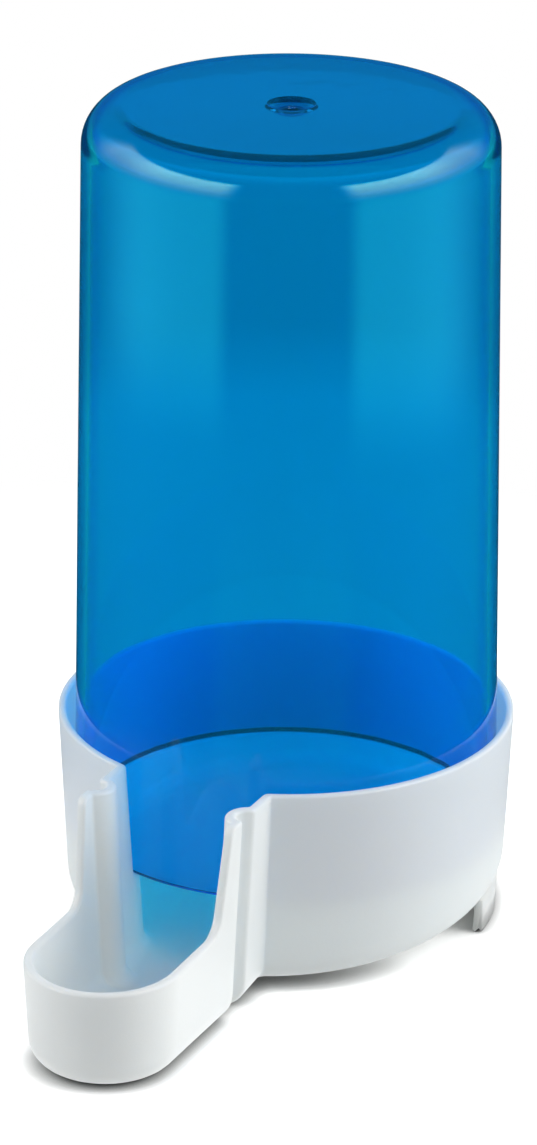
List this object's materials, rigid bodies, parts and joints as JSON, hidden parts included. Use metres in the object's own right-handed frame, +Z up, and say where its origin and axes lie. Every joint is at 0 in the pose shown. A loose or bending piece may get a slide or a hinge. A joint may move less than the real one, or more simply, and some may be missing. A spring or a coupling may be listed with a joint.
{
  "type": "bird cage waterer",
  "caption": "Clip-on bird cage waterer: a transparent blue tube stands mouth down in a white cup whose grooved neck and drinking trough reach between cage bars.",
  "frame": {"origin": "on the ground, under the middle of the part's overall outline", "axes": "+Z up along the tube's axis; the neck and the drinking trough point along -Y; the part is mirrored about the plane x = 0"},
  "size_m": [0.0562, 0.0869, 0.1032],
  "materials": {
    "blue_tube": "transparent blue, polished",
    "white_base": "white, slightly translucent, satin"
  },
  "bodies": {
    "base": {"base": "white_base"},
    "reservoir": {"reservoir": "blue_tube"}
  },
  "joints": [
    {"name": "reservoir_lift", "type": "slide", "parent": "base", "child": "reservoir", "axis": [0, 0, 1], "range_m": [0, 0.03]}
  ]
}
